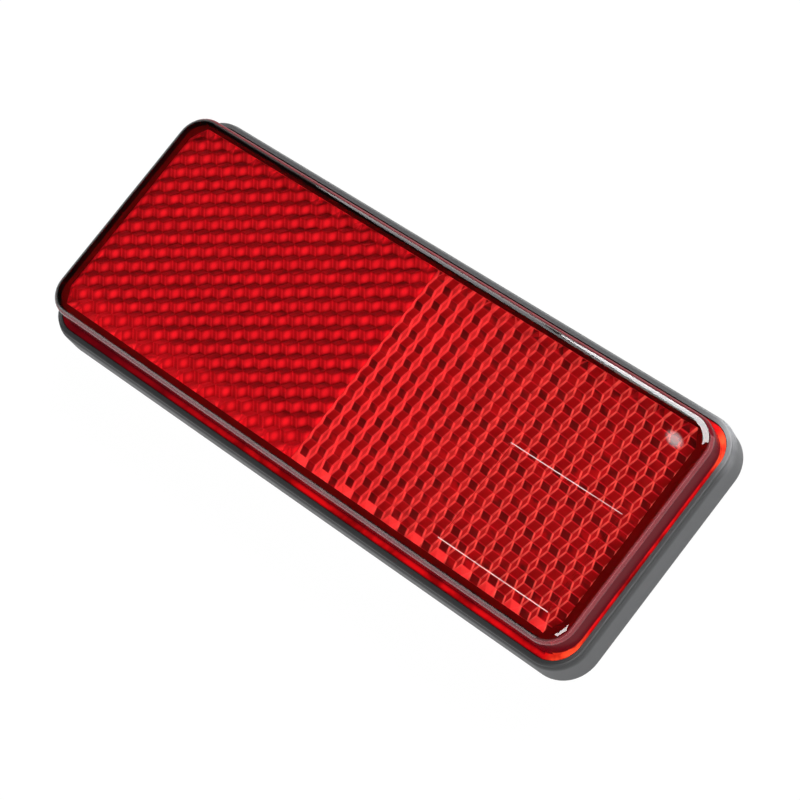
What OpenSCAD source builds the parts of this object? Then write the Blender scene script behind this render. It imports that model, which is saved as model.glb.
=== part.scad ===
// Rear reflector for a bicycle: a red cube-corner lens on a backing plate, seated in a grey soft base,
// with two captive nuts at the back. The face looks up (+Z), the length runs along X and the back lies
// flat on Z = 0. All sizes are in millimetres.

/* [Lens] */
// Length of the lens at the top of its side wall
lens_l = 90.5; // [70:0.1:130]
// Width of the lens at the top of its side wall
lens_w = 32.6; // [26:0.1:50]
// Corner radius of the lens, seen from the front
lens_r = 3.7; // [3.2:0.1:8]
// Height of the lens from its foot to its face
lens_h = 5.6; // [5.2:0.1:9]
// Rounding between the face and the side wall
edge_r = 1.2; // [0.8:0.1:2.5]
// How far the side wall flares out on its way down
wall_flare = 0.05; // [0.05:0.05:0.3]
// How far the foot stands out past the wall on both long sides
foot_out = 0.75; // [0.1:0.05:1]
// Thickness of the foot
foot_t = 1.2; // [0.8:0.1:1.6]
// Thickness of the side wall beside the prisms
wall_t = 1; // [0.8:0.1:1.8]

/* [Prisms] */
// Width of one prism cell, measured across its flats
prism_af = 2.28; // [2:0.02:3]
// Solid thickness of the lens over the prisms
lens_t = 1.6; // [1:0.1:2]
// Depth of the web between the lens and the deepest valleys of the prisms
prism_web = 0.15; // [0.05:0.05:0.3]
// Least gap between the prisms and the walls of the long sides
prism_gap = 0.1; // [0.05:0.05:0.5]
// Least gap between the prisms and the end walls
prism_end_gap = 0.6; // [0.05:0.05:1.5]

/* [Face frame] */
// Length of the raised frame on the face
frame_l = 17.4; // [10:0.1:25]
// Width of the raised frame on the face
frame_w = 14.4; // [8:0.1:20]
// Width of the frame's line
frame_line = 0.3; // [0.2:0.05:0.6]
// Height of the frame's line
frame_h = 0.1; // [0.05:0.05:0.3]
// Gap between the frame and the face's end
frame_gap_x = 2.4; // [0:0.1:5]
// Gap between the frame and the face's long side
frame_gap_y = 2.2; // [0:0.1:5]

/* [Base] */
// Thickness of the base under the lens
floor_t = 3.4; // [2.8:0.1:6]
// Height of the lip above the base's floor
lip_h = 1.3; // [0.8:0.1:2]
// Width of the lip round the lens
lip_w = 0.65; // [0.4:0.05:1.5]
// Width of the step outside the lip
step_w = 0.25; // [0.1:0.05:0.6]
// Height of the step outside the lip
step_h = 0.4; // [0.2:0.05:0.8]
// Rounding of the lip's outer edge
lip_round = 0.2; // [0.1:0.05:0.3]
// Rounding of the shoulder outside the lip
shoulder_r = 1; // [0.7:0.1:1.5]
// Rounding at the foot of the base
base_edge_r = 0.6; // [0.3:0.1:1]
// Gap between the lens and the lip
lens_gap = 0.1; // [0.1:0.05:0.4]

/* [Backing plate] */
// Thickness of the backing plate
plate_t = 1.6; // [1.2:0.1:1.9]
// Depth of the step in the lens wall that the plate is welded to
weld_step = 0.35; // [0.2:0.05:0.5]
// Gap round the edge of the plate
plate_gap = 0.1; // [0.05:0.05:0.2]
// Radius of the bosses on the back of the plate
boss_r = 6.2; // [5.4:0.1:8]
// Gap round the bosses
boss_gap = 0.3; // [0.1:0.1:0.6]
// How far the bosses stay short of the base's back
boss_recess = 0.4; // [0.2:0.1:1]

/* [Fixing] */
// Distance between the two nuts
nut_spacing = 50; // [30:1:60]
// Width of a nut across its flats
nut_af = 8; // [7:0.5:9]
// Thickness of a nut
nut_h = 2.7; // [2:0.1:2.8]
// Diameter of the hole in a nut
nut_bore_d = 4.2; // [3.3:0.1:5]
// Depth of the bevel at both ends of the hole in a nut
nut_bevel = 0.3; // [0.1:0.05:0.5]
// Diameter of the flat round face at both ends of a nut, as a share of its width
nut_face_share = 0.94; // [0.88:0.01:0.98]
// Gap round a nut in its pocket
nut_gap = 0.05; // [0.05:0.05:0.2]
// Diameter of the room for the end of the bolt
bolt_room_d = 5.6; // [5.1:0.1:7]
// Depth of the room for the end of the bolt
bolt_room_h = 0.8; // [0.4:0.1:1]

/* [Hidden] */
$fn = 96;
// Overlap of two shapes that make one profile, and how far a cut runs past the surface that it opens
overlap = 0.01;
past = 1;

// Outline of the foot, the recess that it sits in and the base
foot_l = lens_l + 2 * wall_flare;
foot_w = lens_w + 2 * (wall_flare + foot_out);
foot_r = lens_r + wall_flare;
recess_l = foot_l + 2 * lens_gap;
recess_w = foot_w + 2 * lens_gap;
recess_r = foot_r + lens_gap;
base_l = recess_l + 2 * (lip_w + step_w);
base_w = recess_w + 2 * (lip_w + step_w);
base_r = recess_r + lip_w + step_w;

// Heights, counted from the base's back
face_z = floor_t + lens_h;
plate_top_z = floor_t + plate_t;
lip_z = floor_t + lip_h;
nut_z = boss_recess;

// Inside of the lens
cavity_l = lens_l - 2 * wall_t;
cavity_w = lens_w - 2 * wall_t;
cavity_r = lens_r - wall_t;

// A cube-corner cell: its hexagon's radius, and the height between the three levels of its points.
// The points lie on a grid of half cells along the length and rows across the width
cell_r = prism_af / sqrt(3);
level_h = prism_af / sqrt(6);
half_step = cell_r / 2;
row_step = prism_af / 2;
half_cell_level = 1.5;
ceiling_z = face_z - lens_t;
prism_low_z = ceiling_z - prism_web - 2 * level_h;
prism_top_z = ceiling_z + lens_t / 4;

// Grid of the prism field: half cells on either side of the middle, and rows across
cols = floor((cavity_l / 2 - prism_end_gap) / half_step);
rows = 2 * floor((cavity_w / 2 - prism_gap) / row_step);

// Rows over which the field's corners are cut to clear the round corners of the hollow. With the
// count of half cells it makes an even number, so that the cut runs from point to point
cut_least = ceil(max(
    corner_start(cavity_r, cavity_w / 2 - rows / 2 * row_step) / half_step,
    corner_start(cavity_r, cavity_l / 2 - cols * half_step) / row_step
));
cut = cut_least + (cols + cut_least) % 2;

// Pieces of the frame line on the face
frame_x = lens_l / 2 - edge_r - frame_gap_x - frame_l / 2;
frame_y = -(lens_w / 2 - edge_r - frame_gap_y - frame_w / 2);

// Carries a half profile round a rectangle with rounded corners. The profile is drawn from the
// corner's centre outwards in X, and upwards in Y
module sweep_round(l, w, r) {
    for (mx = [0, 1]) {
        mirror([mx, 0, 0])
            translate([l / 2 - r, w / 2 - r, 0])
                rotate([90, 0, 0])
                    linear_extrude(w - 2 * r)
                        children();
        for (my = [0, 1])
            mirror([mx, 0, 0])
                mirror([0, my, 0])
                    translate([l / 2 - r, w / 2 - r, 0])
                        rotate_extrude(angle = 90)
                            children();
    }
    for (my = [0, 1])
        mirror([0, my, 0])
            translate([-(l / 2 - r), w / 2 - r, 0])
                rotate([90, 0, 90])
                    linear_extrude(l - 2 * r)
                        children();
}

// Fills the middle that the sweep leaves open
module sweep_core(l, w, r, z0, z1) {
    translate([-(l / 2 - r), -(w / 2 - r), z0])
        cube([l - 2 * r, w - 2 * r, z1 - z0]);
}

// A plain block with rounded corners
module round_block(l, w, r, z0, z1) {
    sweep_round(l, w, r)
        translate([0, z0])
            square([r, z1 - z0]);
    sweep_core(l, w, r, z0, z1);
}

// Half section of the lens without its hollow: the face with its rounded edge and the flaring wall
module lens_profile() {
    wall_top = face_z - edge_r;
    translate([0, floor_t])
        square([lens_r, wall_top - floor_t]);
    translate([0, floor_t])
        square([lens_r - edge_r, lens_h]);
    translate([lens_r - edge_r, wall_top])
        intersection() {
            circle(edge_r);
            square(edge_r);
        }
    polygon([
        [lens_r, wall_top],
        [lens_r, floor_t],
        [lens_r + wall_flare, floor_t]
    ]);
}

// Where a round corner of radius r begins, for a line that runs a gap inside the wall
function corner_start(r, gap) = gap >= r ? 0 : r - sqrt(pow(r, 2) - pow(r - gap, 2));

// Last half cell of a row
function row_end(k) = cols - max(0, cut - k, cut - (rows - k));

// Level of a point: 0 at a prism's tip, then 1 and 2 towards the face. The half cells along both
// long sides have no tip and are shallow. Between two points of a row, where the field is cut off
// straight, the level is the mean of both
function level(j, k) =
    (j + k) % 2 == 0
        ? let (whole = ((2 - j - 3 * k) / 2 % 3 + 3) % 3)
            whole == 0 && (k == 0 || k == rows) ? half_cell_level : whole
        : (level(j - 1, k) + level(j + 1, k)) / 2;

// A point of the field. The half beyond the middle is the same field turned by half a turn
function prism_point(j, k) = [
    j * half_step,
    (k - rows / 2) * row_step,
    prism_low_z + level_h * (j < 0 ? level(-j, rows - k) : level(j, k))
];

// Number of a point in the list, for a field turned by half a turn or not
function prism_index(j, k, turned) =
    turned
        ? (rows - k) * (2 * cols + 1) + cols - j
        : k * (2 * cols + 1) + cols + j;

// The cube corners: a surface of triangles on three levels that faces the back, with sides that
// rise to a flat top inside the face
module prisms() {
    grid = [for (k = [0 : rows], j = [-cols : cols]) prism_point(j, k)];
    surface = [
        for (turned = [false, true], k = [0 : rows - 1])
            each concat(
                [
                    for (j = [k % 2 : 2 : row_end(k)])
                        let (a = max(j - 1, 0), b = min(j + 1, row_end(k + 1)))
                        if (b > a)
                            [
                                prism_index(j, k, turned),
                                prism_index(b, k + 1, turned),
                                prism_index(a, k + 1, turned)
                            ]
                ],
                [
                    for (j = [(k + 1) % 2 : 2 : row_end(k + 1)])
                        let (a = max(j - 1, 0), b = min(j + 1, row_end(k)))
                        if (b > a)
                            [
                                prism_index(j, k + 1, turned),
                                prism_index(a, k, turned),
                                prism_index(b, k, turned)
                            ]
                ]
            )
    ];
    rim = [
        for (turned = [false, true])
            each concat(
                [for (j = [2 - row_end(0) : 2 : row_end(0)]) prism_index(j, 0, turned)],
                [for (k = [1 : rows]) prism_index(row_end(k), k, turned)]
            )
    ];
    n = len(rim);
    t = len(grid);
    top_points = concat([for (p = rim) [grid[p].x, grid[p].y, prism_top_z]], [[0, 0, prism_top_z]]);
    sides = [for (i = [0 : n - 1]) [rim[i], t + i, t + (i + 1) % n, rim[(i + 1) % n]]];
    top = [for (i = [0 : n - 1]) [t + n, t + (i + 1) % n, t + i]];
    polyhedron(points = concat(grid, top_points), faces = concat(surface, sides, top));
}

// Raised line round a bare field on the face
module face_frame() {
    for (s = [-1, 1]) {
        translate([frame_x - frame_l / 2, frame_y + s * (frame_w - frame_line) / 2 - frame_line / 2, face_z - frame_h])
            cube([frame_l, frame_line, 2 * frame_h]);
        translate([frame_x + s * (frame_l - frame_line) / 2 - frame_line / 2, frame_y - frame_w / 2, face_z - frame_h])
            cube([frame_line, frame_w, 2 * frame_h]);
    }
}

module lens() {
    color([0.75, 0.02, 0.03, 0.8]) {
        difference() {
            union() {
                sweep_round(lens_l, lens_w, lens_r)
                    lens_profile();
                sweep_core(lens_l, lens_w, lens_r, floor_t, face_z);
                round_block(foot_l, foot_w, foot_r, floor_t, floor_t + foot_t);
                face_frame();
            }
            round_block(cavity_l, cavity_w, cavity_r, floor_t - past, ceiling_z);
            round_block(
                cavity_l + 2 * weld_step,
                cavity_w + 2 * weld_step,
                cavity_r + weld_step,
                floor_t - past,
                plate_top_z
            );
        }
        prisms();
    }
}

// Hexagon across its flats, with flats towards the ends of the reflector
module hexagon(af) {
    rotate(30)
        circle(d = af / cos(30), $fn = 6);
}

module at_fixings() {
    for (s = [-1, 1])
        translate([s * nut_spacing / 2, 0, 0])
            children();
}

module backing_plate() {
    color([0.12, 0.12, 0.13])
        difference() {
            union() {
                round_block(
                    cavity_l + 2 * (weld_step - plate_gap),
                    cavity_w + 2 * (weld_step - plate_gap),
                    cavity_r + weld_step - plate_gap,
                    floor_t,
                    plate_top_z
                );
                at_fixings()
                    translate([0, 0, boss_recess])
                        cylinder(r = boss_r, h = floor_t + plate_t / 2 - boss_recess);
            }
            at_fixings() {
                translate([0, 0, boss_recess - past])
                    linear_extrude(nut_z + nut_h - boss_recess + past)
                        hexagon(nut_af + 2 * nut_gap);
                translate([0, 0, nut_z])
                    cylinder(d = bolt_room_d, h = nut_h + bolt_room_h);
            }
        }
}

// Half section of the base: the lip beside the lens, the step, the rounded shoulder and the wall
module base_profile() {
    lip_out = base_r - step_w;
    shoulder_top = lip_z - step_h + shoulder_r - sqrt(pow(shoulder_r, 2) - pow(shoulder_r - step_w, 2));
    square([base_r - shoulder_r, lip_z - lip_round]);
    translate([0, base_edge_r])
        square([base_r, shoulder_top - shoulder_r - base_edge_r]);
    translate([base_r - shoulder_r, shoulder_top - shoulder_r])
        intersection() {
            circle(shoulder_r);
            square(shoulder_r);
        }
    translate([base_r - base_edge_r, base_edge_r])
        intersection() {
            circle(base_edge_r);
            translate([0, -base_edge_r])
                square(base_edge_r);
        }
    square([base_r - base_edge_r, base_edge_r + overlap]);
    square([lip_out, lip_z - lip_round]);
    square([lip_out - lip_round, lip_z]);
    translate([lip_out - lip_round, lip_z - lip_round])
        intersection() {
            circle(lip_round);
            square(lip_round);
        }
}

module base() {
    color([0.45, 0.45, 0.46])
        difference() {
            union() {
                sweep_round(base_l, base_w, base_r)
                    base_profile();
                sweep_core(base_l, base_w, base_r, 0, lip_z);
            }
            round_block(
                recess_l,
                recess_w,
                recess_r,
                floor_t,
                lip_z + past
            );
            at_fixings()
                translate([0, 0, -past])
                    cylinder(r = boss_r + boss_gap, h = floor_t + 2 * past);
        }
}

// Half section that rounds off the corners of a nut at both ends
module nut_profile() {
    face_r = nut_face_share * nut_af / 2;
    corner_r = nut_af / 2 / cos(30);
    fall = (corner_r - face_r) * tan(30);
    polygon([
        [0, 0],
        [face_r, 0],
        [corner_r, fall],
        [corner_r, nut_h - fall],
        [face_r, nut_h],
        [0, nut_h]
    ]);
}

// Half section of the hole in a nut, bevelled at both ends
module nut_hole_profile() {
    bore_r = nut_bore_d / 2;
    translate([0, -past])
        square([bore_r, nut_h + 2 * past]);
    for (turned = [0, 1])
        translate([0, turned * nut_h])
            mirror([0, turned])
                polygon([
                    [0, -nut_bevel],
                    [bore_r + 2 * nut_bevel, -nut_bevel],
                    [bore_r, nut_bevel],
                    [0, nut_bevel]
                ]);
}

module captive_nut() {
    color([0.75, 0.72, 0.6])
        translate([0, 0, nut_z])
            difference() {
                intersection() {
                    linear_extrude(nut_h)
                        hexagon(nut_af);
                    rotate_extrude()
                        nut_profile();
                }
                rotate_extrude()
                    nut_hole_profile();
            }
}

module captive_nut_left() {
    translate([-nut_spacing / 2, 0, 0])
        captive_nut();
}

module captive_nut_right() {
    translate([nut_spacing / 2, 0, 0])
        captive_nut();
}

lens();
backing_plate();
base();
captive_nut_left();
captive_nut_right();
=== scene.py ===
import math

import bpy
from mathutils import Matrix, Vector


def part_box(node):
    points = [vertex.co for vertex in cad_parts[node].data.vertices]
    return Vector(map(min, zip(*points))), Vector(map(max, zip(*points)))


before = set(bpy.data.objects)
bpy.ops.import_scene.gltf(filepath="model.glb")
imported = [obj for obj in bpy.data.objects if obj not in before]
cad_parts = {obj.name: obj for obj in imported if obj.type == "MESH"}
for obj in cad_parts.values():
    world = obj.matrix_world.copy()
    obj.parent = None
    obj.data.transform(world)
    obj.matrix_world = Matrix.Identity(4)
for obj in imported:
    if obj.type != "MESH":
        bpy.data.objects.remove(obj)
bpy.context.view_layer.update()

bl_info = {
    "name": "Rear Reflector Studio",
    "version": (1, 0, 0),
    "blender": (4, 5, 0),
    "location": "View3D > Sidebar > Reflector",
    "description": "Dresses the packed rear reflector and sets it in a plain studio",
    "category": "Object",
}

MM = 0.001
LENS_LOW, LENS_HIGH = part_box("lens")
BASE_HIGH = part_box("base")[1]

# The line of the frame stands this high on the lens's face
FRAME_LINE_HEIGHT = 0.1 * MM
FACE_Z = LENS_HIGH.z - FRAME_LINE_HEIGHT

# The prism field reaches this far on either side of the middle
FIELD_HALF_LENGTH = 43.5 * MM
FIELD_HALF_WIDTH = 14.83 * MM

# The frame's middle lies at this y, and the line of each long side this far from it
FRAME_Y = -5.7 * MM
FRAME_HALF_WIDTH = 7.05 * MM

# The upright wall of the lens begins this far below the face, and higher on the far side
WALL_DEPTH = 1.25 * MM
FAR_WALL_DEPTH = 0.25 * MM

# The foot of the lens: its height, and how much higher its glow reaches at the right end
FOOT_HEIGHT = 1.25 * MM
FOOT_END_LIFT = 0.45 * MM

# The painted reflection spot on the face: its middle, half its length and half its width
REFLECTION_SPOT_X = 41.1 * MM
REFLECTION_SPOT_Y = 12.0 * MM
REFLECTION_SPOT_HALF_LENGTH = 1.5 * MM
REFLECTION_SPOT_HALF_WIDTH = 1.0 * MM

# Thread of the nuts: its pitch, and how far it reaches from the nut's middle
THREAD_PITCH = 0.8 * MM
THREAD_REACH = 2.2 * MM

# The floor lies just under the base, so that the two don't touch
FLOOR_SIZE = 4.0
FLOOR_DROP = 0.02 * MM

# Width in millimetres that the camera's focal length refers to
SENSOR_WIDTH = 36.0

# The lamps, in metres and watts: place, aim, size and power
BACK_SOFTBOX = (-0.09, 0.50, 0.33), (0.0, 0.0, 0.0), (0.60, 0.22), 8.5
KEY_SOFTBOX = (0.50, -0.25, 0.75), (0.0, 0.0, 0.0), (0.50, 0.50), 11.5

# The panels that show only as reflections: place, aim, size, radiance and roll in degrees
PANELS = {
    "back_panel": ((-0.01, 0.5, 0.827), (-0.01, 0.0, 0.827), (0.86, 1.32), 16.0, -15.8),
    "back_panel_edge": ((-0.486, 0.5, 0.692), (-0.486, 0.0, 0.692), (0.11, 1.32), 3.5, -15.8),
    "near_panel": ((-0.42, -0.5, 0.11), (-0.42, 0.0, 0.11), (0.65, 0.20), 2.0, 0.0),
    "near_floor_panel": ((-0.2, -0.3, MM), (-0.2, -0.3, 1.0), (0.8, 0.5), 1.0, 0.0),
    "right_floor_panel": ((0.29, 0.05, MM), (0.29, 0.05, 1.0), (0.42, 0.3), 2.2, 0.0),
}


# Shader maths

class Value:
    """A number on its way through a node tree. Python's operators add the Math nodes."""

    def __init__(self, tree, socket):
        self.tree = tree
        self.socket = socket

    def math(self, operation, *others):
        operands = dict(enumerate((self, *others)))
        return self.tree.node("ShaderNodeMath", {"operation": operation}, operands)[0]

    def __add__(self, other):
        return self.math("ADD", other)

    def __radd__(self, other):
        return self.math("ADD", other)

    def __sub__(self, other):
        return self.math("SUBTRACT", other)

    def __rsub__(self, other):
        return (self * -1) + other

    def __mul__(self, other):
        return self.math("MULTIPLY", other)

    def __rmul__(self, other):
        return self.math("MULTIPLY", other)

    def __truediv__(self, other):
        return self.math("DIVIDE", other)

    def __abs__(self):
        return self.math("ABSOLUTE")

    def low(self, other):
        return self.math("MINIMUM", other)

    def high(self, other):
        return self.math("MAXIMUM", other)

    def above(self, edge):
        return self.math("GREATER_THAN", edge)

    def below(self, edge):
        return self.math("LESS_THAN", edge)

    def fraction(self):
        return self.math("FRACT")

    def off_whole(self):
        """Distance to the nearest whole number."""
        return abs((self + 0.5).fraction() - 0.5)

    def ramp(self, start, end):
        """Rises smoothly from 0 at start to 1 at end; with start past end it falls."""
        rising = start < end
        return self.tree.node(
            "ShaderNodeMapRange",
            {"interpolation_type": "SMOOTHSTEP"},
            {"Value": self, "From Min": min(start, end), "From Max": max(start, end),
             "To Min": 0.0 if rising else 1.0, "To Max": 1.0 if rising else 0.0},
        )[0]


def radius(first, second):
    return (first * first + second * second).math("SQRT")


class Tree:
    """A material's or the world's node tree, emptied, with one method that adds every node."""

    def __init__(self, owner):
        owner.use_nodes = True
        self.nodes = owner.node_tree.nodes
        self.links = owner.node_tree.links
        self.nodes.clear()

    def node(self, kind, settings=None, values=None):
        """Adds a node and gives its outputs. A value is a link, a number, a vector or a colour."""
        made = self.nodes.new(kind)
        for name, setting in (settings or {}).items():
            setattr(made, name, setting)
        for slot, value in (values or {}).items():
            socket = made.inputs[slot]
            if isinstance(value, Value):
                self.links.new(value.socket, socket)
            elif socket.type == "RGBA":
                socket.default_value = (*value, 1.0)
            else:
                socket.default_value = value
        return [Value(self, output) for output in made.outputs]

    def object_place(self):
        return self.node("ShaderNodeTexCoord")[3]

    def place(self):
        """Object coordinates as three values, in metres."""
        return self.node("ShaderNodeSeparateXYZ", None, {"Vector": self.object_place()})

    def noise(self, scale, detail):
        return self.node("ShaderNodeTexNoise", None, {
            "Vector": self.object_place(), "Scale": scale, "Detail": detail, "Roughness": 0.5,
        })[0]

    def mix_colour(self, share, first, second):
        return self.node("ShaderNodeMix", {"data_type": "RGBA"}, {
            0: share, 6: first, 7: second,
        })[2]

    def bump(self, height, strength, distance):
        return self.node("ShaderNodeBump", None, {
            "Height": height, "Strength": strength, "Distance": distance,
        })[0]

    def surface(self, **values):
        named = {name.replace("_", " "): value for name, value in values.items()}
        return self.node("ShaderNodeBsdfPrincipled", None, named)[0]

    def mix_surface(self, share, first, second):
        return self.node("ShaderNodeMixShader", None, {0: share, 1: first, 2: second})[0]

    def finish(self, surface):
        self.node("ShaderNodeOutputMaterial", None, {"Surface": surface})


def new_material(name):
    material = bpy.data.materials.new(name)
    return material, Tree(material)


def scaled(colour, factor):
    return [channel * factor for channel in colour]


def dress(node, material):
    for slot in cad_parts[node].material_slots:
        slot.material = material


# Settings

class LensLook(bpy.types.PropertyGroup):
    colour: bpy.props.FloatVectorProperty(
        name="Lens colour", description="Tint of the clear red plastic",
        subtype="COLOR", default=(0.93, 0.075, 0.06))
    index: bpy.props.FloatProperty(
        name="Refraction", description="Refractive index of the acrylic", default=1.49)
    across_flats: bpy.props.FloatProperty(
        name="Prism size", description="Width of one cube-corner cell across its flats",
        unit="LENGTH", default=2.28 * MM)
    valley_depth: bpy.props.FloatProperty(
        name="Prism valleys", description="Depth of the deepest valleys below the face",
        unit="LENGTH", default=1.75 * MM)
    edge_width: bpy.props.FloatProperty(
        name="Moulded edge", description="Width of the rounded edges between the prism faces",
        unit="LENGTH", default=0.38 * MM)
    # The edge, blurred edge and line colours are painted highlights on the rounded prism edges
    edge_highlight_colour: bpy.props.FloatVectorProperty(
        name="Edge colour", description="Colour that the rounded prism edges scatter",
        subtype="COLOR", default=(1.0, 0.95, 0.9))
    blurred_highlight_colour: bpy.props.FloatVectorProperty(
        name="Blurred edge colour", description="Colour of the prism edges towards the middle",
        subtype="COLOR", default=(1.0, 0.5, 0.6))
    dot_colour: bpy.props.FloatVectorProperty(
        name="Dot colour", description="Colour of the dots of light in the left half",
        subtype="COLOR", default=(1.0, 0.13, 0.28))
    line_highlight_colour: bpy.props.FloatVectorProperty(
        name="Line colour", description="Colour of the edges that run along the reflector",
        subtype="COLOR", default=(0.7, 0.1, 0.22))
    # The three facet colours are painted light and shade: faces lit, half lit or shaded by how they
    # turn
    lit_facet: bpy.props.FloatVectorProperty(
        name="Bright prism face", description="Colour of the prism faces turned to the ends",
        subtype="COLOR", default=(0.52, 0.05, 0.14))
    half_lit_facet: bpy.props.FloatVectorProperty(
        name="Middle prism face",
        description="Colour of the prism faces turned to the far side",
        subtype="COLOR", default=(0.36, 0.02, 0.06))
    shaded_facet: bpy.props.FloatVectorProperty(
        name="Dark prism face",
        description="Colour of the prism faces turned to the near side",
        subtype="COLOR", default=(0.08, 0.006, 0.02))
    facet_share: bpy.props.FloatProperty(
        name="Facet share", description="Share of the prism faces that scatters",
        subtype="FACTOR", default=0.92)
    # Painted shade darkens the wall, and the foot's red is a painted glow
    wall_colour: bpy.props.FloatVectorProperty(
        name="Wall colour", description="Deep red of the upright wall",
        subtype="COLOR", default=(0.075, 0.001, 0.004))
    foot_glow_colour: bpy.props.FloatVectorProperty(
        name="Foot colour", description="Red of the foot that glows in the gap",
        subtype="COLOR", default=(0.62, 0.004, 0.006))


class BaseLook(bpy.types.PropertyGroup):
    colour: bpy.props.FloatVectorProperty(
        name="Base colour", description="Grey of the rubber base",
        subtype="COLOR", default=(0.06, 0.0615, 0.064))


class StageLook(bpy.types.PropertyGroup):
    focal_length: bpy.props.FloatProperty(
        name="Focal length", description="Lens of the camera on a 36 mm sensor, in millimetres",
        default=121.2)
    azimuth: bpy.props.FloatProperty(
        name="Azimuth", description="Side that the camera stands on, from -Y towards +X",
        subtype="ANGLE", default=math.radians(76.07))
    elevation: bpy.props.FloatProperty(
        name="Elevation", description="Height of the camera above the horizon",
        subtype="ANGLE", default=math.radians(56.55))
    roll: bpy.props.FloatProperty(
        name="Roll", description="Turn of the camera about its own line of sight",
        subtype="ANGLE", default=math.radians(-40.31))
    distance: bpy.props.FloatProperty(
        name="Distance", description="Distance from the camera to the point that it looks at",
        unit="LENGTH", default=324.8 * MM)
    aim: bpy.props.FloatVectorProperty(
        name="Aim", description="Point of the face that the camera looks at",
        subtype="XYZ", unit="LENGTH", default=(8.33 * MM, -1.62 * MM, 9.0 * MM))


# Prisms

def cube_edge(look):
    return look.across_flats / math.sqrt(2)


def cell_radius(look):
    return look.across_flats / math.sqrt(3)


def cube_coordinates(look, place):
    """Coordinates along the three edges of the prisms' cubes, in edges from a prism's tip."""
    x, y, z = place
    flat_step = math.sqrt(2 / 3) / cube_edge(look)
    tip_z = FACE_Z - look.valley_depth - 2 * look.across_flats / math.sqrt(6)
    along = (abs(x) - cell_radius(look)) * flat_step
    across = (y - look.across_flats / 2) * flat_step
    up = (z - tip_z) * (1 / math.sqrt(3) / cube_edge(look))
    tilted = along * 0.5
    sideways = across * (math.sqrt(3) / 2)
    return up - along, up + tilted + sideways, up + tilted - sideways


def chain_highlight_mask(look, cube, gaps, blur):
    """Painted highlights on the edges that climb across the field in chains. Each link fades away
    from its bright end.
    """
    gap = gaps[0].high(gaps[1].low(gaps[2]))
    half_width = look.edge_width / 2 / cube_edge(look) * (1 + blur * 0.5)
    rising = gaps[2].below(gaps[1])
    lit = rising * cube[1].fraction() + (1 - rising) * (1 - cube[2].fraction())
    strength = (lit.ramp(0.0, 0.6) * 0.4 + 0.6).high(blur)
    return (1 - gap / half_width).ramp(-0.25, 0.4) * strength


def half_cell_mask(look, x, y):
    """The shallow half cells along the near side, under every second column of prisms."""
    pitch = 3 * cell_radius(look)
    from_tip = ((x - cell_radius(look)) / pitch).off_whole() * pitch
    from_side = y + FIELD_HALF_WIDTH
    inner = cell_radius(look) - from_side / math.sqrt(3) - from_tip
    return inner.above(0.05 * MM) * from_side.below(look.across_flats / 2)


def prism_colour(tree, look, place):
    """The prisms' colour with its painted light and shade, and the mask of their painted edge
    highlights.
    """
    x, y, _ = place
    right = x.above(0.0)
    left = 1 - right

    # A gap is the distance to a whole cube coordinate: a face has one gap of nothing, an edge two
    cube = cube_coordinates(look, place)
    gaps = [coordinate.off_whole() for coordinate in cube]
    end_face = gaps[0].below(gaps[1].low(gaps[2]))
    near_face = gaps[1].below(gaps[0].low(gaps[2]))
    far_face = gaps[2].below(gaps[0].low(gaps[1]))
    # The faces are painted lit or half lit by how they turn, and near faces in the right half get
    # patches of painted shade
    patchy_shade = tree.noise(420, 2).ramp(0.3, 0.55)
    colour = tree.mix_colour(end_face.high(left), look.half_lit_facet, look.lit_facet)
    colour = tree.mix_colour(near_face * patchy_shade * right, colour, look.shaded_facet)

    # In the right half the edges get a painted highlight, sharp at the end and blurred towards the
    # middle
    blur = (x / FIELD_HALF_LENGTH).ramp(0.85, 0.1)
    half_edge = look.edge_width / 2 / cube_edge(look)
    level_line_highlight = gaps[1].high(gaps[2]).ramp(half_edge * 0.9, half_edge * 0.2)
    chain_highlight = chain_highlight_mask(look, cube, gaps, blur).high(end_face * blur * 0.65) * right
    colour = tree.mix_colour(level_line_highlight * right * (1 - blur * 0.7), colour, look.line_highlight_colour)

    # In the left half the light thrown back is painted as a soft dot on every end face, with
    # painted shade in rows between
    lit_side = far_face * left * gaps[0].ramp(0.5, 0.0)
    dot = radius(0.5 - gaps[1], 0.5 - gaps[2]).ramp(0.55, 0.1) * end_face * left
    near_rows = y.ramp(-10.5 * MM, -12.5 * MM)
    row_shade = gaps[1].ramp(0.22, 0.0) * left * (1 - near_rows * 0.7)
    colour = tree.mix_colour(lit_side * 0.75, colour, look.dot_colour)
    colour = tree.mix_colour(dot, colour, look.dot_colour)
    colour = tree.mix_colour(row_shade * 0.7, colour, look.shaded_facet)

    # The painted chain highlights lie over the faces, and the half cells, painted bright as a
    # highlight, over both
    edge_highlight_colour = tree.mix_colour(blur, look.edge_highlight_colour, look.blurred_highlight_colour)
    colour = tree.mix_colour(chain_highlight, colour, edge_highlight_colour)
    half_cell = half_cell_mask(look, x, y) * right
    colour = tree.mix_colour(half_cell * 0.9, colour, look.blurred_highlight_colour)
    return colour, chain_highlight


def prism_zone(look, place):
    """The part of the lens that the prisms fill."""
    x, y, z = place
    valley_z = FACE_Z - look.valley_depth
    return (
        z.below(valley_z + 0.02 * MM)
        * z.above(valley_z - look.across_flats)
        * abs(x).below(FIELD_HALF_LENGTH)
        * abs(y).below(FIELD_HALF_WIDTH)
    )


# Rest of the lens

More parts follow.
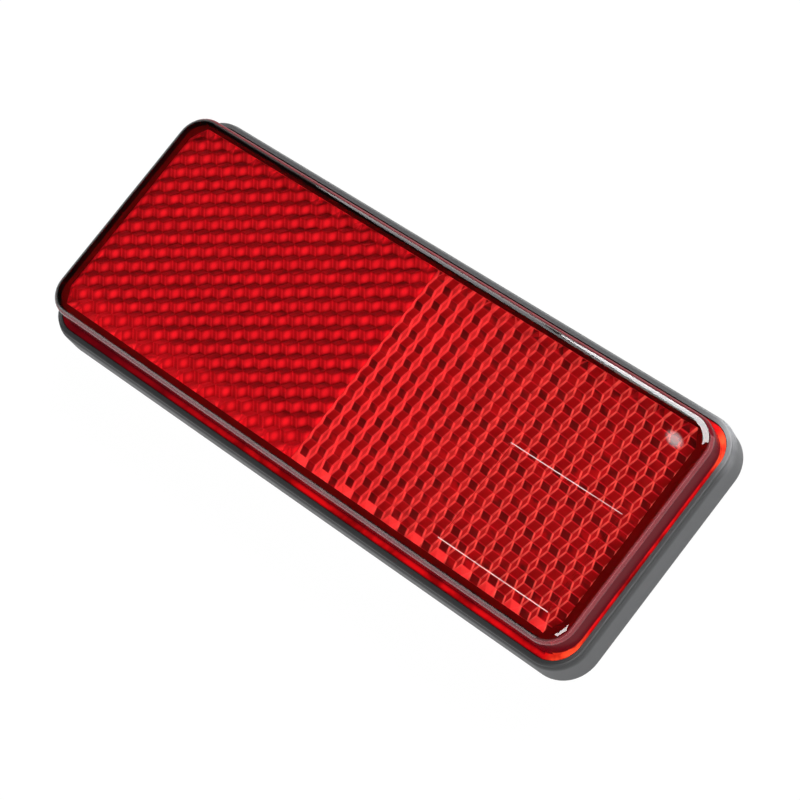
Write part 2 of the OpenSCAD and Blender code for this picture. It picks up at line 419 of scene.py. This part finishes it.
def wall_colour(tree, look, place):
    """The wall's deep red is darkened as painted shade, and leaking light is painted as a glow at
    its foot.
    """
    x, y, z = place
    foot_top = LENS_LOW.z + FOOT_HEIGHT
    end_lift = x.above(LENS_HIGH.x - 2 * MM) * FOOT_END_LIFT
    glow = (z - end_lift).ramp(foot_top + 0.35 * MM, foot_top)

    # The painted glow is uneven, keeps to a line along the sides, is orange at the right corners
    # and fades to the left
    uneven = tree.noise(330, 3).ramp(0.35, 0.62)
    off_line = abs(abs(y) - (LENS_HIGH.y - 0.38 * MM)).ramp(0.12 * MM, 0.4 * MM)
    sides = abs(x).below(LENS_HIGH.x - 3 * MM)
    corner = x.ramp(LENS_HIGH.x - 3 * MM, LENS_HIGH.x - 1 * MM) * abs(y).ramp(11 * MM, 14 * MM)
    leftwards = x.ramp(5 * MM, -38 * MM)
    foot = tree.mix_colour(uneven, scaled(look.foot_glow_colour, 0.35), look.foot_glow_colour)
    foot = tree.mix_colour(off_line * sides * 0.75, foot, look.wall_colour)
    foot = tree.mix_colour(corner * uneven * 0.8, foot, (1.0, 0.09, 0.03))
    foot = tree.mix_colour(leftwards * 0.85, foot, look.wall_colour)
    return tree.mix_colour(glow, look.wall_colour, foot)


def wall_zone(place):
    _, y, z = place
    far_rise = WALL_DEPTH - FAR_WALL_DEPTH
    top = y.above(FIELD_HALF_WIDTH) * far_rise + (FACE_Z - WALL_DEPTH)
    return (top - z).ramp(-0.1 * MM, 0.15 * MM)


def rim_glow_zone(place):
    """The band under the rounded edge of the face, where a red glow is painted under the highlight.
    """
    z = place[2]
    return z.ramp(FACE_Z - 0.3 * MM, FACE_Z - 0.6 * MM) * z.above(FACE_Z - 1.3 * MM)


def frame_line_glint(tree, place):
    """A fine pale line painted as a glint along the long sides of the raised frame, broken up in
    places.
    """
    _, y, z = place
    raised = z.above(FACE_Z + FRAME_LINE_HEIGHT / 2)
    gap = abs(abs(y - FRAME_Y) - FRAME_HALF_WIDTH)
    return raised * gap.ramp(0.08 * MM, 0.03 * MM) * tree.noise(240, 2).ramp(0.15, 0.5)


def reflection_spot(place):
    """A small pale spot near the far right corner of the face, a painted reflection."""
    x, y, z = place
    along = (x - REFLECTION_SPOT_X + (y - REFLECTION_SPOT_Y) * 0.4) / REFLECTION_SPOT_HALF_LENGTH
    across = (y - REFLECTION_SPOT_Y) / REFLECTION_SPOT_HALF_WIDTH
    return (along * along + across * across).ramp(1.0, 0.0) * z.above(FACE_Z - 0.02 * MM)


# Materials

def lens_material(look):
    """Clear red plastic. The light its cube-corner faces throw back and the highlights on their
    edges are painted.
    """
    material, tree = new_material("clear_red_plastic")
    place = tree.place()
    inside = prism_zone(look, place)
    colour, chain_highlight = prism_colour(tree, look, place)

    ripple = tree.bump(tree.noise(110, 1), 0.35, 0.03 * MM)
    clear = tree.surface(
        Base_Color=look.colour, Roughness=0.0, IOR=look.index, Transmission_Weight=1.0,
        Normal=ripple)
    prisms = tree.surface(Base_Color=colour, Roughness=0.35, IOR=look.index)
    # A painted red glow that tints the highlight on the rounded edge
    rim_glow = tree.surface(Base_Color=(0.42, 0.012, 0.03), Roughness=0.1, IOR=look.index)
    wall = tree.surface(
        Base_Color=wall_colour(tree, look, place), Roughness=0.25, IOR=look.index,
        Specular_IOR_Level=0.05)
    # Pale surface of the painted glint on the frame line and of the painted reflection spot
    white = tree.surface(Base_Color=(0.85, 0.72, 0.72), Roughness=0.4)

    body = tree.mix_surface(inside * chain_highlight.high(look.facet_share), clear, prisms)
    body = tree.mix_surface(rim_glow_zone(place) * 0.3 * (1 - inside), body, rim_glow)
    body = tree.mix_surface(wall_zone(place) * (1 - inside), body, wall)
    painted_glints = (frame_line_glint(tree, place) * 0.42).high(reflection_spot(place) * 0.2)
    tree.finish(tree.mix_surface(painted_glints, body, white))
    return material


def base_material(look):
    """Grey moulded rubber: a faint grain and an uneven sheen, with painted shade on the lip and a
    painted highlight on the far right corner.
    """
    material, tree = new_material("grey_rubber")
    x, y, z = tree.place()
    mottle = tree.noise(180, 4)
    colour = tree.mix_colour(mottle, scaled(look.colour, 0.9), scaled(look.colour, 1.12))

    # The lip that grips the lens is painted darker as shade, and the far side is darker too
    lip_shade = z.ramp(BASE_HIGH.z - 1.2 * MM, BASE_HIGH.z - 0.5 * MM) * y.ramp(14 * MM, 11 * MM)
    far_side = y.ramp(13 * MM, 15 * MM) * x.ramp(43 * MM, 35 * MM)
    colour = tree.mix_colour(lip_shade.high(far_side), colour, scaled(look.colour, 0.4))

    # The far right shoulder is painted pale as a highlight
    shoulder_highlight = (
        z.ramp(BASE_HIGH.z - 1.9 * MM, BASE_HIGH.z - 1.1 * MM)
        * (x + y).ramp(BASE_HIGH.x + 12 * MM, BASE_HIGH.x + 16 * MM)
        * mottle.ramp(0.3, 0.6)
    )
    colour = tree.mix_colour(shoulder_highlight * 0.6, colour, (0.22, 0.22, 0.23))
    tree.finish(tree.surface(
        Base_Color=colour, Roughness=mottle * 0.16 + 0.46, IOR=1.5, Specular_IOR_Level=0.3,
        Normal=tree.bump(tree.noise(2600, 3), 0.25, 0.03 * MM)))
    return material


def plate_material():
    """Satin red plastic of the backing plate, with the fine spark-eroded grain of its mould."""
    material, tree = new_material("plate_plastic")
    mottle = tree.noise(220, 3)
    colour = tree.mix_colour(mottle, (0.30, 0.012, 0.015), (0.38, 0.016, 0.02))
    tree.finish(tree.surface(
        Base_Color=colour, Roughness=mottle * 0.12 + 0.34, IOR=1.5,
        Normal=tree.bump(tree.noise(3200, 2), 0.2, 0.02 * MM)))
    return material


def nut_material(node):
    """Zinc plated steel, a little uneven, with a thread in the bore whose grooves are painted dark
    as shade.
    """
    material, tree = new_material("zinc_steel_" + node)
    low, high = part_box(node)
    x, y, z = tree.place()
    x = x - (low.x + high.x) / 2
    y = y - (low.y + high.y) / 2
    bore = radius(x, y).ramp(THREAD_REACH + 0.1 * MM, THREAD_REACH)
    turn = y.math("ARCTAN2", x) / math.tau
    thread = abs((z / THREAD_PITCH + turn).fraction() - 0.5) * 2
    mottle = tree.noise(900, 4)
    colour = tree.mix_colour(mottle, (0.56, 0.54, 0.47), (0.72, 0.71, 0.66))
    # The thread's grooves are painted dark as shade
    colour = tree.mix_colour(bore * (1 - thread) * 0.7, colour, (0.12, 0.11, 0.09))
    tree.finish(tree.surface(
        Base_Color=colour, Metallic=1.0, Roughness=mottle * 0.2 + 0.22,
        Normal=tree.bump(bore * thread + mottle * 0.04, 0.8, 0.3 * MM)))
    return material


def floor_material():
    """White floor that lights like a plain pale one and keeps a faint shadow."""
    material, tree = new_material("studio_floor")
    pale = tree.node("ShaderNodeBsdfDiffuse", None, {"Color": (0.8, 0.8, 0.8)})[0]
    white = tree.node("ShaderNodeEmission", None, {"Color": (1.0, 1.0, 1.0)})[0]
    rays = {output.socket.name: output for output in tree.node("ShaderNodeLightPath")}
    seen = rays["Is Camera Ray"].high(rays["Is Glossy Ray"]).high(rays["Is Transmission Ray"])
    tree.finish(tree.mix_surface(seen * 0.985, pale, white))
    return material


# Stage

def add_lamp(name, place, aim, size, power, roll=0.0):
    """A rectangular area lamp that looks at a point, turned about its line of sight by roll."""
    lamp = bpy.data.lights.new(name, "AREA")
    lamp.shape = "RECTANGLE"
    lamp.size, lamp.size_y = size
    lamp.energy = power
    holder = bpy.data.objects.new(name, lamp)
    bpy.context.scene.collection.objects.link(holder)
    way = Vector(aim) - Vector(place)
    turn = way.to_track_quat("-Z", "Y").to_matrix().to_4x4() @ Matrix.Rotation(roll, 4, "Z")
    holder.matrix_world = Matrix.Translation(place) @ turn
    return holder


def add_reflected_panel(name, place, aim, size, radiance, roll):
    """A panel that is only mirrored in glossy surfaces and lights nothing."""
    power = radiance * math.pi * size[0] * size[1]
    holder = add_lamp(name, place, aim, size, power, math.radians(roll))
    holder.visible_diffuse = False
    holder.visible_transmission = False
    holder.visible_camera = False


def add_lamps():
    add_lamp("back_softbox", *BACK_SOFTBOX).visible_glossy = False
    add_lamp("key_softbox", *KEY_SOFTBOX)
    for name, settings in PANELS.items():
        add_reflected_panel(name, *settings)


def add_floor():
    bpy.ops.object.select_all(action="DESELECT")
    bpy.ops.mesh.primitive_plane_add(size=FLOOR_SIZE, location=(0.0, 0.0, -FLOOR_DROP))
    floor = bpy.context.object
    floor.name = "studio_floor"
    floor.data.materials.append(floor_material())


def set_world(scene):
    """A white room: bright along the horizon, dim overhead, and plain white to the camera."""
    world = bpy.data.worlds.new("studio_world")
    scene.world = world
    tree = Tree(world)
    way = tree.node("ShaderNodeTexCoord")[0]
    height = tree.node("ShaderNodeSeparateXYZ", None, {"Vector": way})[2]
    glow = height.ramp(0.5, 0.2) * 0.95 + 0.03
    seen = tree.node("ShaderNodeLightPath")[0]
    room, white = [
        tree.node("ShaderNodeBackground", None, {"Color": (1.0, 1.0, 1.0), "Strength": strength})[0]
        for strength in (glow, 1.0)
    ]
    tree.node("ShaderNodeOutputWorld", None, {"Surface": tree.mix_surface(seen, room, white)})


def camera_matrix(look):
    """Where the camera stands and how it is turned."""
    side = Vector((math.sin(look.azimuth), -math.cos(look.azimuth), 0.0))
    back = side * math.cos(look.elevation) + Vector((0.0, 0.0, math.sin(look.elevation)))
    right = Vector((0.0, 0.0, 1.0)).cross(back).normalized()
    up = back.cross(right)
    turned_right = right * math.cos(look.roll) + up * math.sin(look.roll)
    turned_up = up * math.cos(look.roll) - right * math.sin(look.roll)
    turn = Matrix((turned_right, turned_up, back)).transposed().to_4x4()
    return Matrix.Translation(Vector(look.aim) + back * look.distance) @ turn


def add_camera(scene, look):
    camera = bpy.data.cameras.new("photo_camera")
    camera.sensor_width = SENSOR_WIDTH
    camera.lens = look.focal_length
    camera.clip_start = 0.01
    holder = bpy.data.objects.new("photo_camera", camera)
    scene.collection.objects.link(holder)
    holder.matrix_world = camera_matrix(look)
    scene.camera = holder


# Operators

class REFLECTOR_OT_lens(bpy.types.Operator):
    """Give the lens its clear red plastic and its prisms their edges"""
    bl_idname = "reflector.lens"
    bl_label = "Dress the lens"

    def execute(self, context):
        dress("lens", lens_material(context.scene.reflector_lens))
        return {"FINISHED"}


class REFLECTOR_OT_base(bpy.types.Operator):
    """Give the base its grey rubber"""
    bl_idname = "reflector.base"
    bl_label = "Dress the base"

    def execute(self, context):
        dress("base", base_material(context.scene.reflector_base))
        return {"FINISHED"}


class REFLECTOR_OT_plate(bpy.types.Operator):
    """Give the backing plate its satin plastic"""
    bl_idname = "reflector.plate"
    bl_label = "Dress the backing plate"

    def execute(self, context):
        dress("backing_plate", plate_material())
        return {"FINISHED"}


class REFLECTOR_OT_nuts(bpy.types.Operator):
    """Give the two nuts their zinc plated steel and the thread in their bores"""
    bl_idname = "reflector.nuts"
    bl_label = "Dress the nuts"

    def execute(self, context):
        for node in ("captive_nut_left", "captive_nut_right"):
            dress(node, nut_material(node))
        return {"FINISHED"}


class REFLECTOR_OT_stage(bpy.types.Operator):
    """Set up the floor, the soft lamps, the world and the camera"""
    bl_idname = "reflector.stage"
    bl_label = "Set the stage"

    def execute(self, context):
        add_floor()
        add_lamps()
        set_world(context.scene)
        add_camera(context.scene, context.scene.reflector_stage)
        context.scene.view_settings.view_transform = "Standard"
        return {"FINISHED"}


STEPS = (
    REFLECTOR_OT_lens, REFLECTOR_OT_base, REFLECTOR_OT_plate, REFLECTOR_OT_nuts,
    REFLECTOR_OT_stage,
)
SETTINGS = {"reflector_lens": LensLook, "reflector_base": BaseLook, "reflector_stage": StageLook}


class REFLECTOR_PT_panel(bpy.types.Panel):
    """Lists the steps that dress the reflector, and their settings"""
    bl_idname = "REFLECTOR_PT_panel"
    bl_label = "Rear reflector"
    bl_space_type = "VIEW_3D"
    bl_region_type = "UI"
    bl_category = "Reflector"

    def draw(self, context):
        for step in STEPS:
            self.layout.operator(step.bl_idname)
        for group in SETTINGS:
            holder = getattr(context.scene, group)
            box = self.layout.box()
            for name in holder.bl_rna.properties.keys():
                if name not in ("rna_type", "name"):
                    box.prop(holder, name)


CLASSES = (*SETTINGS.values(), *STEPS, REFLECTOR_PT_panel)


def register():
    for kind in CLASSES:
        bpy.utils.register_class(kind)
    for name, kind in SETTINGS.items():
        setattr(bpy.types.Scene, name, bpy.props.PointerProperty(type=kind))


def unregister():
    for name in SETTINGS:
        delattr(bpy.types.Scene, name)
    for kind in reversed(CLASSES):
        bpy.utils.unregister_class(kind)


def main():
    register()
    for step in STEPS:
        area, name = step.bl_idname.split(".")
        getattr(getattr(bpy.ops, area), name)()


if __name__ == "__main__":
    main()
